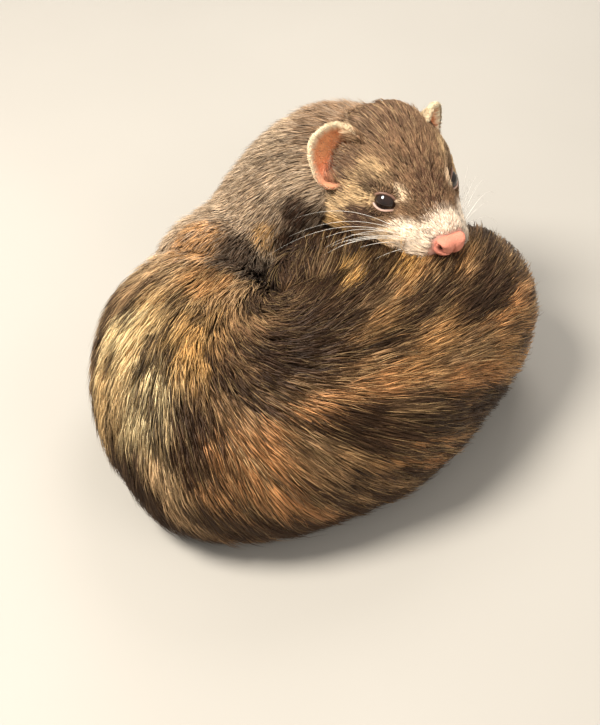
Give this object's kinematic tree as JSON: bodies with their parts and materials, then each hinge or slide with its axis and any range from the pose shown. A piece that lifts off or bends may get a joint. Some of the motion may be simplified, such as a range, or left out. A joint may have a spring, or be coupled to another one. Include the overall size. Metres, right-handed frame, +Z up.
{
  "type": "ferret model",
  "caption": "Life-size model of a resting sable ferret, its body curled in a ring on the floor and its head turned back with the chin on its own rump.",
  "frame": {"origin": "middle of the floor area under the whole animal, at floor level", "axes": "+Z up; +X to the right as the picture shows the animal, the side its nose points to; -Y towards the picture's viewer"},
  "size_m": [0.1912, 0.1892, 0.1155],
  "materials": {
    "coat": "soft guard hair over a cream and tan undercoat",
    "face": "short dense fur",
    "points": "dark fur of legs and tail",
    "ear": "thin skin with fine short hair",
    "nose": "bare moist skin",
    "eye": "wet and glossy"
  },
  "bodies": {
    "root": {"head": "face", "nose": "nose", "neck_nape": "coat", "neck_base": "coat", "eye_left": "eye", "eye_right": "eye", "ear_left": "ear", "ear_right": "ear", "torso_shoulders": "coat", "torso_ribs": "coat", "torso_loin": "coat", "torso_hips": "coat", "tail_root": "points", "tail_tip": "points", "foreleg_left": "points", "foreleg_right": "points", "hindleg_left": "points", "hindleg_right": "points", "haunch_right": "coat"}
  },
  "joints": []
}
